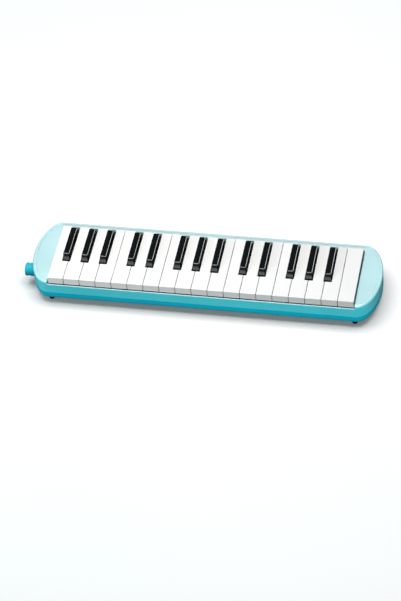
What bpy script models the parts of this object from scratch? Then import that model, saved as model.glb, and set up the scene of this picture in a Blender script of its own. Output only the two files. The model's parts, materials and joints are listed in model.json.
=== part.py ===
"""A 32-key melodica: a two-part case, sprung keys on one shaft, and the wind chest they open.

Metres, +Z up. X runs along the keyboard from bass to treble, and the player's side is -Y. The origin is
the centre of the object's box, on the surface that the feet stand on. Each key's own origin is on the shaft.
"""

import math

import bmesh
import bpy
from mathutils import Matrix, Vector

MM = 0.001

# The case
BODY_LENGTH = 425 * MM
BODY_DEPTH = 105 * MM
WALL = 2.2 * MM
END_STEPS = 16
FOOT_HEIGHT = 5.5 * MM
CASE_BASE = FOOT_HEIGHT
SEAM = 18 * MM
SEAM_GAP = 0.3 * MM
CASE_TOP = 35.5 * MM
RAIL_TOP = 30.6 * MM
RAIL_WALL = 2.0 * MM
TOP_ROUND = 4.5 * MM
BASE_ROUND = 8 * MM
FIT_GAP = 0.3 * MM
ROUND_STEPS = 3
CHEEK_WALL_DOWN = 18 * MM

# The keyboard
KEY_PITCH = 19.5 * MM
WHITE_COUNT = 19
KEYBOARD = KEY_PITCH * WHITE_COUNT
KEY_GAP = 0.6 * MM
FRONT_MARGIN = 3.2 * MM
SIDE_MARGIN = 0.9 * MM
REAR_MARGIN = 1.3 * MM
WHITE_TOP = 40 * MM
WHITE_LENGTH = 90 * MM
WHITE_DEPTH = 9.7 * MM
WHITE_SKIN = 1.4 * MM
BLACK_RISE = 7.5 * MM
BLACK_BASE_WIDTH = 9.0 * MM
BLACK_TOP_WIDTH = 7.6 * MM
BLACK_FRONT = 31.3 * MM
BLACK_TOP_FRONT = 36.0 * MM
BLACK_TOP_REAR = 80.5 * MM
BLACK_REAR = 89.0 * MM
BLACK_DEPTH = 8.5 * MM
BLACK_ROUND = 0.8 * MM
BLACK_ROUND_STEPS = 2
BLACK_SKIN = 1.5 * MM
NOTCH_FRONT = 30.0 * MM
NOTCH_SIDE = 0.5 * MM
# Each black key follows the white key of this number, set off its gap by this distance.
BLACK_OFFSETS = {"F": -3.0 * MM, "G": 0.2 * MM, "A": 3.4 * MM, "C": -1.5 * MM, "D": 2.0 * MM}
NOTES = "FGABCDE"

# Levers, shaft and valves, measured back from the key fronts and down from the white tops
PIVOT_BACK = 74 * MM
PIVOT_DOWN = 14 * MM
SHAFT_RADIUS = 1.5 * MM
SHAFT_BORE = 1.75 * MM
LEVER_WIDTH = 4 * MM
LEVER_PROFILE = (
    (62, 1.0), (88, 1.0), (88, 9.4), (96.8, 9.4), (96.8, 17.0), (70, 17.0), (62, 16.5),
)
PALLET_WIDTH = 8 * MM
PALLET_BACK = (89.0 * MM, 96.6 * MM)
PALLET_DOWN = (15.5 * MM, 20.0 * MM)

# The wind chest and what closes it
CHEST_BACK = (70 * MM, 97.5 * MM)
CHEST_DOWN = (20.3 * MM, 29.0 * MM)
CHEST_END = 2.9 * MM
CHEST_WALL = 2.0 * MM
CHAMBER_WALL = 1.5 * MM
PORT_SIZE = (5.0 * MM, 4.6 * MM)
BEARER_WIDTH = 2.4 * MM
BEARER_LENGTH = 7 * MM
BEARER_TOP = 11.2 * MM
GASKET_DOWN = (29.3 * MM, 29.9 * MM)
COVER_DOWN = (30.2 * MM, 31.7 * MM)
COVER_INSET = 1.8 * MM
REED_PLATE_BACK = (74 * MM, 94 * MM)
REED_PLATE_DOWN = (22.6 * MM, 23.6 * MM)
REED_SLOT = (2.6 * MM, 13 * MM)
REED_WIDTH = 2.2 * MM
REED_SKIN = 0.3 * MM
REED_SINK = 0.1 * MM
REED_ROOT = 2.4 * MM
REED_TIP_GAP = 0.4 * MM

# The spring comb and the stop felt
COMB_BACK = (79 * MM, 83 * MM)
COMB_SKIN = 0.4 * MM
FINGER_WIDTH = 3 * MM
FINGER_FRONT = 61 * MM
FINGER_RISE = 2.0 * MM
FELT_BACK = (4.2 * MM, 8.8 * MM)
FELT_DOWN = (14.6 * MM, 16.6 * MM)
STOP_WALL = 2.4 * MM
STOP_IN = 3.5 * MM

# The blow socket and its duct
SOCKET_BACK = 30.2 * MM
SOCKET_DOWN = 19.5 * MM
SOCKET_REACH = 8 * MM
SOCKET_RADIUS = 8 * MM
SOCKET_NECK = 7 * MM
SOCKET_BORE = 5 * MM
SOCKET_SHOULDER = 22.6 * MM
SOCKET_INNER_END = 12.9 * MM
SEAL_RADIUS = 9.2 * MM
SEAL_OUT = (19.5 * MM, 17.3 * MM)
DUCT_OUT = (12.5 * MM, 3.3 * MM)
DUCT_BACK = (22 * MM, 91 * MM)
DUCT_DOWN = (12 * MM, 28.6 * MM)
DUCT_WALL = 1.4 * MM
DUCT_OUTLET_BACK = (77 * MM, 89 * MM)
DUCT_OUTLET_DOWN = (24 * MM, 27 * MM)

# The drain valve under the treble end
DRAIN_BEYOND = 8 * MM
DRAIN_BACK = 76.5 * MM
DRAIN_CHAMBER_END = 13.5 * MM
DRAIN_CHAMBER_BACK = (70 * MM, 83 * MM)
DRAIN_HOLE = 2.2 * MM
DRAIN_STEM = 1.4 * MM
DRAIN_DISC = 3.6 * MM
DRAIN_BUTTON = 4.0 * MM
DRAIN_BUTTON_HOLE = 4.4 * MM
DRAIN_BUTTON_DOWN = (34.1 * MM, 37.2 * MM)
DRAIN_DISC_DOWN = (28.5 * MM, 29.9 * MM)
SPRING_RADIUS = 2.6 * MM
SPRING_WIRE = 0.3 * MM
SPRING_TURNS = 5
SPRING_STEPS = 9

# Feet and case screws: how far in from a keyboard end, and how far back, each foot stands;
# and where each screw stands, in millimetres from the keyboard's bass end and back from its front
FOOT_RADIUS = 3.5 * MM
FOOT_TAPER = 0.4 * MM
FOOT_STEM = 1.5 * MM
FOOT_IN = 0.5 * MM
FOOT_BACK = (6 * MM, 92 * MM)
SCREW_PLACES = ((-17.7, 52), (-7.2, 10), (388.4, 50), (377.7, 10), (379.2, 91))
SCREW_HEAD = 2.8 * MM
SCREW_HEAD_HEIGHT = 2.7 * MM
SCREW_SHANK = 1.4 * MM
BOSS_RADIUS = 4.6 * MM
POST_RADIUS = 3.2 * MM
BOSS_TOP = 12 * MM
WEB_BASE = 9.5 * MM

# Each finish's colour, roughness and metallic value
FINISHES = {
    "upper_plastic": ((0.58, 0.74, 0.755), 0.25, 0.0),
    "lower_plastic": ((0.04, 0.52, 0.63), 0.25, 0.0),
    "white_key_plastic": ((0.92, 0.92, 0.91), 0.28, 0.0),
    "black_key_plastic": ((0.015, 0.015, 0.017), 0.25, 0.0),
    "inner_plastic": ((0.80, 0.80, 0.78), 0.5, 0.0),
    "reed_brass": ((0.78, 0.62, 0.30), 0.35, 1.0),
    "steel": ((0.62, 0.63, 0.65), 0.3, 1.0),
    "rubber": ((0.02, 0.02, 0.022), 0.7, 0.0),
    "felt": ((0.45, 0.10, 0.10), 0.95, 0.0),
}

BODY_X = SOCKET_REACH / 2
KEYS_LEFT = BODY_X - KEYBOARD / 2
KEYS_FRONT = -BODY_DEPTH / 2 + FRONT_MARGIN
STRAIGHT = KEYBOARD + 2 * SIDE_MARGIN
END_REACH = (BODY_LENGTH - STRAIGHT) / 2
PIVOT = Vector((0, KEYS_FRONT + PIVOT_BACK, WHITE_TOP - PIVOT_DOWN))
BODY_END = BODY_LENGTH / 2
ROUND_SIDES = 24
SCREW_SIDES = 16
SHAFT_SIDES = 12
LEVEL = 0.9
NEAR = 1e-6
NEARLY_STRAIGHT = 0.01
SHARP_ANGLE = math.radians(40)


def x_at(distance):
    """The place this far along the keyboard from its bass end."""
    return KEYS_LEFT + distance


def y_at(distance):
    """The place this far behind the front edge of the white keys."""
    return KEYS_FRONT + distance


def z_at(distance):
    """The height this far below the white keys' tops."""
    return WHITE_TOP - distance


def clear_scene():
    for item in list(bpy.data.objects):
        bpy.data.objects.remove(item, do_unlink=True)


def make_material(name):
    colour, roughness, metallic = FINISHES[name]
    material = bpy.data.materials.new(name)
    material.use_nodes = True
    shader = material.node_tree.nodes["Principled BSDF"]
    shader.inputs["Base Color"].default_value = (*colour, 1)
    shader.inputs["Roughness"].default_value = roughness
    shader.inputs["Metallic"].default_value = metallic
    material.diffuse_color = (*colour, 1)
    return material


def add_object(name, mesh, collection, material=None, origin=(0, 0, 0)):
    """An object whose mesh was modelled in place, with its own origin moved to the given point."""
    if origin != (0, 0, 0):
        mesh.transform(Matrix.Translation(-Vector(origin)))
    item = bpy.data.objects.new(name, mesh)
    item.location = origin
    if material:
        mesh.materials.clear()
        mesh.materials.append(material)
    collection.objects.link(item)
    return item


def mesh_from(bm, name):
    bmesh.ops.recalc_face_normals(bm, faces=bm.faces)
    mesh = bpy.data.meshes.new(name)
    bm.to_mesh(mesh)
    bm.free()
    return mesh


def box_mesh(name, low, high):
    bm = bmesh.new()
    bmesh.ops.create_cube(bm, size=1)
    size = Vector(high) - Vector(low)
    middle = (Vector(high) + Vector(low)) / 2
    bmesh.ops.scale(bm, vec=size, verts=bm.verts)
    bmesh.ops.translate(bm, vec=middle, verts=bm.verts)
    return mesh_from(bm, name)


def rod_mesh(name, start, end, radius, end_radius=None, sides=ROUND_SIDES):
    """A round rod, or a cone where the two radii differ, from one point to another."""
    start, end = Vector(start), Vector(end)
    bm = bmesh.new()
    turn = (end - start).to_track_quat("Z", "Y").to_matrix().to_4x4()
    bmesh.ops.create_cone(
        bm, cap_ends=True, segments=sides, radius1=radius,
        radius2=radius if end_radius is None else end_radius,
        depth=(end - start).length, matrix=Matrix.Translation((start + end) / 2) @ turn,
    )
    return mesh_from(bm, name)


def prism_mesh(name, outline, low, high):
    """A flat outline in plan, filled and extruded between two heights."""
    curve = bpy.data.curves.new(name, "CURVE")
    curve.dimensions = "2D"
    curve.fill_mode = "BOTH"
    curve.extrude = (high - low) / 2
    spline = curve.splines.new("POLY")
    spline.points.add(len(outline) - 1)
    for point, (x, y) in zip(spline.points, outline):
        point.co = (x, y, 0, 1)
    spline.use_cyclic_u = True
    source = bpy.data.objects.new(name, curve)
    bpy.context.scene.collection.objects.link(source)
    mesh = evaluated_mesh(source, name)
    bpy.data.objects.remove(source, do_unlink=True)
    bm = bmesh.new()
    bm.from_mesh(mesh)
    bmesh.ops.remove_doubles(bm, verts=bm.verts, dist=NEAR)
    bmesh.ops.dissolve_limit(bm, angle_limit=NEARLY_STRAIGHT, verts=bm.verts, edges=bm.edges)
    bmesh.ops.translate(bm, vec=(0, 0, (low + high) / 2), verts=bm.verts)
    bpy.data.meshes.remove(mesh)
    return mesh_from(bm, name)


def evaluated_mesh(item, name):
    graph = bpy.context.evaluated_depsgraph_get()
    graph.update()
    mesh = bpy.data.meshes.new_from_object(item.evaluated_get(graph))
    mesh.name = name
    return mesh


def profile_mesh(name, outline, width):
    """A side outline of (distance back, height) pairs, centred on X = 0 and this wide."""
    mesh = prism_mesh(name, outline, -width / 2, width / 2)
    # The prism lies in plan: its x is the distance back and its y is the height.
    mesh.transform(Matrix(((0, 0, 1, 0), (1, 0, 0, 0), (0, 1, 0, 0), (0, 0, 0, 1))))
    return mesh


class Workshop:
    """The two collections, and the Boolean steps between them."""

    def __init__(self, name):
        self.parts = bpy.data.collections.new(name)
        self.tools = bpy.data.collections.new("cutters")
        for collection in (self.parts, self.tools):
            bpy.context.scene.collection.children.link(collection)

    def part(self, name, mesh, material, origin=(0, 0, 0)):
        return add_object(name, mesh, self.parts, material, origin)

    def tool(self, mesh, origin=(0, 0, 0)):
        item = add_object("tool_" + mesh.name, mesh, self.tools, None, origin)
        item.hide_render = True
        item.display_type = "WIRE"
        return item

    def combine(self, item, tool, operation):
        step = item.modifiers.new(operation.lower(), "BOOLEAN")
        step.operation = operation
        step.solver = "EXACT"
        step.object = tool
        return step

    def cut(self, item, mesh):
        return self.combine(item, self.tool(mesh), "DIFFERENCE")

    def add(self, item, mesh):
        return self.combine(item, self.tool(mesh), "UNION")


def solidify(item, thickness):
    step = item.modifiers.new("wall", "SOLIDIFY")
    step.thickness = thickness
    step.offset = -1
    step.use_even_offset = True
    return step


def drop_faces(mesh, test):
    """Opens a solid by deleting the faces that the test picks."""
    bm = bmesh.new()
    bm.from_mesh(mesh)
    picked = [face for face in bm.faces if test(face)]
    bmesh.ops.delete(bm, geom=picked, context="FACES")
    bm.to_mesh(mesh)
    bm.free()
    return mesh


def has_black_after(index):
    """Whether a black key follows the white key of this index."""
    return NOTES[index % len(NOTES)] in BLACK_OFFSETS and index < WHITE_COUNT - 1


def black_centre(index):
    """Where the black key that follows this white key has its middle."""
    return x_at((index + 1) * KEY_PITCH + BLACK_OFFSETS[NOTES[index % len(NOTES)]])


def white_rear(index):
    """The two sides of a white key's rear part, between its black neighbours."""
    reach = BLACK_BASE_WIDTH / 2 + NOTCH_SIDE
    left = x_at(index * KEY_PITCH) + KEY_GAP / 2
    right = x_at((index + 1) * KEY_PITCH) - KEY_GAP / 2
    if index > 0 and has_black_after(index - 1):
        left = black_centre(index - 1) + reach
    if has_black_after(index):
        right = black_centre(index) - reach
    return left, right


def white_outline(index):
    """A white key in plan: full width at the front, stepped in beside each black key."""
    left = x_at(index * KEY_PITCH) + KEY_GAP / 2
    right = x_at((index + 1) * KEY_PITCH) - KEY_GAP / 2
    rear_left, rear_right = white_rear(index)
    outline = [(left, y_at(0)), (right, y_at(0))]
    if rear_right != right:
        outline += [(right, y_at(NOTCH_FRONT)), (rear_right, y_at(NOTCH_FRONT))]
    outline += [(rear_right, y_at(WHITE_LENGTH)), (rear_left, y_at(WHITE_LENGTH))]
    if rear_left != left:
        outline += [(rear_left, y_at(NOTCH_FRONT)), (left, y_at(NOTCH_FRONT))]
    return outline


def key_places():
    """The middle of every key's lever, from bass to treble."""
    places = []
    for index in range(WHITE_COUNT):
        places.append(sum(white_rear(index)) / 2)
        if has_black_after(index):
            places.append(black_centre(index))
    return places


def bearer_places():
    """Where the shaft's bearers stand: at both ends, and where two white keys meet."""
    edge = BEARER_WIDTH / 2
    inner = [x_at((i + 1) * KEY_PITCH) for i in range(WHITE_COUNT - 1) if not has_black_after(i)]
    return [x_at(edge)] + inner + [x_at(KEYBOARD - edge)]


def lever_mesh(shop):
    """The lever inside a key with its valve pallet, centred on X = 0, as one finished mesh."""
    outline = [(y_at(back * MM), z_at(down * MM)) for back, down in LEVER_PROFILE]
    lever = shop.tool(profile_mesh("lever_blank", outline, LEVER_WIDTH))
    low = (-PALLET_WIDTH / 2, y_at(PALLET_BACK[0]), z_at(PALLET_DOWN[1]))
    high = (PALLET_WIDTH / 2, y_at(PALLET_BACK[1]), z_at(PALLET_DOWN[0]))
    shop.add(lever, box_mesh("pallet", low, high))
    return evaluated_mesh(lever, "lever")


def shaft_bore_mesh():
    start = (x_at(-KEY_PITCH), PIVOT.y, PIVOT.z)
    end = (x_at(KEYBOARD + KEY_PITCH), PIVOT.y, PIVOT.z)
    return rod_mesh("shaft_bore", start, end, SHAFT_BORE, sides=SHAFT_SIDES)


def make_white_keys(shop, lever, bore, material):
    for index in range(WHITE_COUNT):
        name = f"white_key_{index + 1:02d}"
        middle = sum(white_rear(index)) / 2
        mesh = prism_mesh(name, white_outline(index), z_at(WHITE_DEPTH), WHITE_TOP)
        drop_faces(mesh, lambda face: face.normal.z < -LEVEL)
        key = shop.part(name, mesh, material, (middle, PIVOT.y, PIVOT.z))
        solidify(key, WHITE_SKIN)
        tool = shop.tool(lever.copy())
        tool.location.x = middle
        shop.combine(key, tool, "UNION")
        shop.combine(key, bore, "DIFFERENCE")


def black_body_mesh():
    """A black key's block: upright below the white tops, sloped on all four sides above them."""
    half = BLACK_BASE_WIDTH / 2
    low = (-half, y_at(BLACK_FRONT), z_at(BLACK_DEPTH))
    high = (half, y_at(BLACK_REAR), WHITE_TOP)
    mesh = box_mesh("black_body", low, high)
    bm = bmesh.new()
    bm.from_mesh(mesh)
    lid = [face for face in bm.faces if face.normal.z > LEVEL]
    raised = bmesh.ops.extrude_face_region(bm, geom=lid)["geom"]
    bmesh.ops.delete(bm, geom=lid, context="FACES")
    for vert in (item for item in raised if isinstance(item, bmesh.types.BMVert)):
        at_front = vert.co.y < y_at((BLACK_FRONT + BLACK_REAR) / 2)
        vert.co.x = math.copysign(BLACK_TOP_WIDTH / 2, vert.co.x)
        vert.co.y = y_at(BLACK_TOP_FRONT if at_front else BLACK_TOP_REAR)
        vert.co.z = WHITE_TOP + BLACK_RISE
    bm.normal_update()
    top = WHITE_TOP + BLACK_RISE
    upper = [e for e in bm.edges if max(v.co.z for v in e.verts) > top - NEAR]
    bmesh.ops.bevel(
        bm, geom=upper, offset=BLACK_ROUND, segments=BLACK_ROUND_STEPS, profile=0.5,
        affect="EDGES", material=-1,
    )
    bm.to_mesh(mesh)
    bm.free()
    return mesh


def make_black_keys(shop, lever, bore, material):
    blank = shop.tool(black_body_mesh())
    half = BLACK_BASE_WIDTH / 2 - BLACK_SKIN
    low = (-half, y_at(BLACK_FRONT + BLACK_SKIN), z_at(BLACK_DEPTH + WALL))
    high = (half, y_at(BLACK_REAR - BLACK_SKIN), z_at(BLACK_SKIN))
    shop.cut(blank, box_mesh("black_hollow", low, high))
    shop.add(blank, lever.copy())
    shop.combine(blank, bore, "DIFFERENCE")
    mesh = evaluated_mesh(blank, "black_key")
    mesh.transform(Matrix.Translation((0, -PIVOT.y, -PIVOT.z)))
    mesh.materials.clear()
    mesh.materials.append(material)
    number = 0
    for index in range(WHITE_COUNT):
        if not has_black_after(index):
            continue
        number += 1
        key = bpy.data.objects.new(f"black_key_{number:02d}", mesh)
        key.location = (black_centre(index), PIVOT.y, PIVOT.z)
        shop.parts.objects.link(key)


def make_key_shaft(shop, material):
    start = (x_at(0), PIVOT.y, PIVOT.z)
    end = (x_at(KEYBOARD), PIVOT.y, PIVOT.z)
    shop.part("key_shaft", rod_mesh("key_shaft", start, end, SHAFT_RADIUS, sides=SHAFT_SIDES), material)


def case_outline():
    """The case in plan: straight front and rear, with a half ellipse at each end."""
    outline = []
    for centre, start in ((BODY_X + STRAIGHT / 2, -90), (BODY_X - STRAIGHT / 2, 90)):
        for step in range(END_STEPS + 1):
            angle = math.radians(start + 180 * step / END_STEPS)
            outline.append((centre + END_REACH * math.cos(angle), BODY_DEPTH / 2 * math.sin(angle)))
    return outline


def case_shell_mesh(name, low, high, round_at_top, radius):
    """Half of the case as an open surface: one flat side with its rounded rim, and the wall."""
    mesh = prism_mesh(name, case_outline(), low, high)
    open_side = -1 if round_at_top else 1
    drop_faces(mesh, lambda face: face.normal.z * open_side > LEVEL)
    flat = high if round_at_top else low
    bm = bmesh.new()
    bm.from_mesh(mesh)
    rim = [e for e in bm.edges if all(abs(v.co.z - flat) < NEAR for v in e.verts)]
    bmesh.ops.bevel(
        bm, geom=rim, offset=radius, segments=ROUND_STEPS, profile=0.5, affect="EDGES", material=-1
    )
    bm.to_mesh(mesh)
    bm.free()
    return mesh


def cut_socket_hole(shop, item):
    start = (BODY_X - BODY_END, y_at(SOCKET_BACK), z_at(SOCKET_DOWN))
    end = (x_at(-SOCKET_INNER_END), y_at(SOCKET_BACK), z_at(SOCKET_DOWN))
    shop.cut(item, rod_mesh("socket_hole", start, end, SOCKET_RADIUS + FIT_GAP))


def make_upper_case(shop, material):
    mesh = case_shell_mesh("upper_case", SEAM, CASE_TOP, True, TOP_ROUND)
    case = shop.part("upper_case", mesh, material)
    solidify(case, WALL)
    bottom = z_at(CHEEK_WALL_DOWN)
    for side, out in ((-1, x_at(-SIDE_MARGIN)), (1, x_at(KEYBOARD + SIDE_MARGIN))):
        low_x, high_x = sorted((out, out + side * WALL))
        low = (low_x, -BODY_DEPTH / 2 + WALL / 2, bottom)
        high = (high_x, y_at(WHITE_LENGTH + REAR_MARGIN + WALL), CASE_TOP - WALL / 2)
        shop.add(case, box_mesh("cheek_wall", low, high))
    for x, y in SCREW_PLACES:
        start = (x_at(x * MM), y_at(y * MM), BOSS_TOP + FIT_GAP)
        end = (x_at(x * MM), y_at(y * MM), CASE_TOP - WALL / 2)
        shop.add(case, rod_mesh("screw_post", start, end, POST_RADIUS, sides=SHAFT_SIDES))
        pilot_end = (x_at(x * MM), y_at(y * MM), SEAM + WALL)
        shop.cut(case, rod_mesh("screw_pilot", start, pilot_end, SCREW_SHANK + FIT_GAP, sides=SHAFT_SIDES))
    left, right = x_at(-SIDE_MARGIN), x_at(KEYBOARD + SIDE_MARGIN)
    opening_low = (left, -BODY_DEPTH / 2 + RAIL_WALL, SEAM + WALL)
    opening_high = (right, y_at(WHITE_LENGTH + REAR_MARGIN), CASE_TOP + WALL)
    shop.cut(case, box_mesh("keyboard_opening", opening_low, opening_high))
    shop.cut(case, box_mesh("rail_notch", (left, -BODY_DEPTH, RAIL_TOP), (right, 0, CASE_TOP + WALL)))
    cut_socket_hole(shop, case)


def make_lower_case(shop, material):
    mesh = case_shell_mesh("lower_case", CASE_BASE, SEAM - SEAM_GAP, False, BASE_ROUND)
    case = shop.part("lower_case", mesh, material)
    solidify(case, WALL)
    middle = y_at(sum(FELT_BACK) / 2)
    low = (x_at(STOP_IN), middle - STOP_WALL / 2, CASE_BASE + WALL / 2)
    high = (x_at(KEYBOARD - STOP_IN), middle + STOP_WALL / 2, z_at(FELT_DOWN[1] + FIT_GAP))
    shop.add(case, box_mesh("stop_wall", low, high))
    for x, y in SCREW_PLACES:
        place = (x_at(x * MM), y_at(y * MM))
        boss_low, boss_high = (*place, CASE_BASE + WALL / 2), (*place, BOSS_TOP)
        shop.add(case, rod_mesh("boss", boss_low, boss_high, BOSS_RADIUS, sides=SCREW_SIDES))
        seat = (*place, WEB_BASE)
        counterbore = rod_mesh("counterbore", (*place, 0), seat, SCREW_HEAD + FIT_GAP, sides=SCREW_SIDES)
        shop.cut(case, counterbore)
        hole = rod_mesh("shank_hole", (*place, 0), (*place, SEAM), SCREW_SHANK + FIT_GAP, sides=SHAFT_SIDES)
        shop.cut(case, hole)
    for x, y in foot_places():
        hole = rod_mesh("foot_hole", (x, y, 0), (x, y, SEAM / 2), FOOT_STEM + FIT_GAP, sides=SHAFT_SIDES)
        shop.cut(case, hole)
    x, y = drain_place()
    shop.cut(case, rod_mesh("button_hole", (x, y, 0), (x, y, SEAM / 2), DRAIN_BUTTON_HOLE))
    cut_socket_hole(shop, case)


def make_case_screws(shop, material):
    for number, (x, y) in enumerate(SCREW_PLACES, 1):
        place = (x_at(x * MM), y_at(y * MM))
        head_high = WEB_BASE - FIT_GAP
        head_low = head_high - SCREW_HEAD_HEIGHT
        mesh = rod_mesh("head", (*place, head_low), (*place, head_high), SCREW_HEAD, sides=SCREW_SIDES)
        screw = shop.part(f"case_screw_{number}", mesh, material)
        shank_low, shank_high = (*place, head_high - MM), (*place, SEAM + MM)
        shop.add(screw, rod_mesh("shank", shank_low, shank_high, SCREW_SHANK, sides=SHAFT_SIDES))


def foot_places():
    xs = (x_at(FOOT_IN), x_at(KEYBOARD - FOOT_IN))
    return [(x, y_at(back)) for back in FOOT_BACK for x in xs]


def make_feet(shop, material):
    names = ("foot_front_bass", "foot_front_treble", "foot_rear_bass", "foot_rear_treble")
    for name, (x, y) in zip(names, foot_places()):
        top = CASE_BASE - FIT_GAP
        mesh = rod_mesh(name, (x, y, 0), (x, y, top), FOOT_RADIUS - FOOT_TAPER, FOOT_RADIUS)
        foot = shop.part(name, mesh, material)
        stem = rod_mesh("stem", (x, y, top - MM), (x, y, CASE_BASE + WALL), FOOT_STEM, sides=SHAFT_SIDES)
        shop.add(foot, stem)


def drain_place():
    return x_at(KEYBOARD + DRAIN_BEYOND), y_at(DRAIN_BACK)


def chest_box(name, inset, down):
    """A box with the wind chest's plan, drawn in by the inset all round."""
    low = (x_at(-CHEST_END) + inset, y_at(CHEST_BACK[0]) + inset, z_at(down[1]))
    high = (x_at(KEYBOARD + CHEST_END) - inset, y_at(CHEST_BACK[1]) - inset, z_at(down[0]))
    return box_mesh(name, low, high)


def chamber_box(name, inset, down):
    """A box with the drain chamber's plan, reaching back into the chest's treble end."""
    low = (x_at(KEYBOARD - CHEST_WALL), y_at(DRAIN_CHAMBER_BACK[0]) + inset, z_at(down[1]))
    high = (x_at(KEYBOARD + DRAIN_CHAMBER_END) - inset, y_at(DRAIN_CHAMBER_BACK[1]) - inset, z_at(down[0]))
    return box_mesh(name, low, high)


def make_wind_chest(shop, bore, material):
    chest = shop.part("wind_chest", chest_box("wind_chest", 0, CHEST_DOWN), material)
    shop.add(chest, chamber_box("drain_chamber", 0, CHEST_DOWN))
    hollow = (CHEST_DOWN[0] + CHEST_WALL, CHEST_DOWN[1] + CHEST_WALL)
    shop.cut(chest, chest_box("chest_hollow", CHEST_WALL, hollow))
    shop.cut(chest, chamber_box("chamber_hollow", CHAMBER_WALL, hollow))
    for x in bearer_places():
        low = (x - BEARER_WIDTH / 2, PIVOT.y - BEARER_LENGTH / 2, z_at(CHEST_DOWN[0] + CHEST_WALL / 2))
        high = (x + BEARER_WIDTH / 2, PIVOT.y + BEARER_LENGTH / 2, z_at(BEARER_TOP))
        shop.add(chest, box_mesh("bearer", low, high))
    shop.combine(chest, bore, "DIFFERENCE")
    port_back = sum(PALLET_BACK) / 2
    for x in key_places():
        low = (x - PORT_SIZE[0] / 2, y_at(port_back) - PORT_SIZE[1] / 2, z_at(CHEST_DOWN[1]))
        high = (x + PORT_SIZE[0] / 2, y_at(port_back) + PORT_SIZE[1] / 2, z_at(CHEST_DOWN[0] - MM))
        shop.cut(chest, box_mesh("port", low, high))
    low = (x_at(-CHEST_END - MM), y_at(DUCT_OUTLET_BACK[0]), z_at(DUCT_OUTLET_DOWN[1]))
    high = (x_at(MM), y_at(DUCT_OUTLET_BACK[1]), z_at(DUCT_OUTLET_DOWN[0]))
    shop.cut(chest, box_mesh("wind_inlet", low, high))


def make_chest_gasket(shop, material):
    gasket = shop.part("chest_gasket", chest_box("chest_gasket", 0, GASKET_DOWN), material)
    shop.add(gasket, chamber_box("gasket_chamber", 0, GASKET_DOWN))
    through = (GASKET_DOWN[0] - MM, GASKET_DOWN[1] + MM)
    shop.cut(gasket, chest_box("gasket_hollow", CHEST_WALL, through))
    shop.cut(gasket, chamber_box("gasket_chamber_hollow", CHAMBER_WALL, through))


def make_chest_cover(shop, material):
    cover = shop.part("chest_cover", chest_box("chest_cover", COVER_INSET, COVER_DOWN), material)
    shop.add(cover, chamber_box("cover_chamber", 0, COVER_DOWN))
    x, y = drain_place()
    shop.cut(cover, rod_mesh("drain_hole", (x, y, 0), (x, y, SEAM), DRAIN_HOLE, sides=SHAFT_SIDES))


def make_reed_plate(shop, name, places, material):
    """A plate with a slot for each note and a reed riveted over it."""
    spare = PALLET_WIDTH / 2
    low = (places[0] - spare, y_at(REED_PLATE_BACK[0]), z_at(REED_PLATE_DOWN[1]))
    high = (places[-1] + spare, y_at(REED_PLATE_BACK[1]), z_at(REED_PLATE_DOWN[0]))
    plate = shop.part(name, box_mesh(name, low, high), material)
    middle = y_at(sum(REED_PLATE_BACK) / 2)
    for x in places:
        slot_low = (x - REED_SLOT[0] / 2, middle - REED_SLOT[1] / 2, low[2] - MM)
        slot_high = (x + REED_SLOT[0] / 2, middle + REED_SLOT[1] / 2, high[2] + MM)
        shop.cut(plate, box_mesh("reed_slot", slot_low, slot_high))
    for x in places:
        reed_low = (x - REED_WIDTH / 2, slot_low[1] - REED_ROOT, low[2] - REED_SKIN)
        reed_high = (x + REED_WIDTH / 2, slot_high[1] - REED_TIP_GAP, low[2] + REED_SINK)
        shop.add(plate, box_mesh("reed", reed_low, reed_high))


def make_reed_plates(shop, material):
    places = key_places()
    half = len(places) // 2
    make_reed_plate(shop, "reed_plate_bass", places[:half], material)
    make_reed_plate(shop, "reed_plate_treble", places[half:], material)


def make_spring_comb(shop, material):
    """One sheet of spring metal: a strip along the chest, with a finger under each key's lever."""
    places = key_places()
    top = z_at(CHEST_DOWN[0] - FIT_GAP - COMB_SKIN)
    low = (places[0] - FINGER_WIDTH / 2, y_at(COMB_BACK[0]), top - COMB_SKIN)
    high = (places[-1] + FINGER_WIDTH / 2, y_at(COMB_BACK[1]), top)
    comb = shop.part("spring_comb", box_mesh("spring_comb", low, high), material)
    for x in places:
        finger_low = (x - FINGER_WIDTH / 2, y_at(FINGER_FRONT), top - COMB_SKIN)
        finger_high = (x + FINGER_WIDTH / 2, y_at(COMB_BACK[0] + MM), top)
        finger = box_mesh("finger", finger_low, finger_high)
        for vert in finger.vertices:
            if vert.co.y < y_at(FINGER_FRONT + MM):
                vert.co.z += FINGER_RISE
        shop.add(comb, finger)


def make_stop_felt(shop, material):
    low = (x_at(STOP_IN), y_at(FELT_BACK[0]), z_at(FELT_DOWN[1]))
    high = (x_at(KEYBOARD - STOP_IN), y_at(FELT_BACK[1]), z_at(FELT_DOWN[0]))
    shop.part("key_stop_felt", box_mesh("key_stop_felt", low, high), material)


def socket_rod(name, out_start, out_end, radius, sides=ROUND_SIDES):
    """A rod along the blow socket's axis, between two distances out past the bass end of the keys."""
    y, z = y_at(SOCKET_BACK), z_at(SOCKET_DOWN)
    return rod_mesh(name, (x_at(-out_start), y, z), (x_at(-out_end), y, z), radius, sides=sides)


def make_blow_socket(shop, material):
    tip = SIDE_MARGIN + END_REACH + SOCKET_REACH
    mesh = socket_rod("blow_socket", tip, SOCKET_SHOULDER, SOCKET_RADIUS)
    socket = shop.part("blow_socket", mesh, material)
    shop.add(socket, socket_rod("neck", SOCKET_SHOULDER + MM, SOCKET_INNER_END, SOCKET_NECK))
    shop.cut(socket, socket_rod("socket_bore", tip + MM, SOCKET_INNER_END - MM, SOCKET_BORE))


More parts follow.
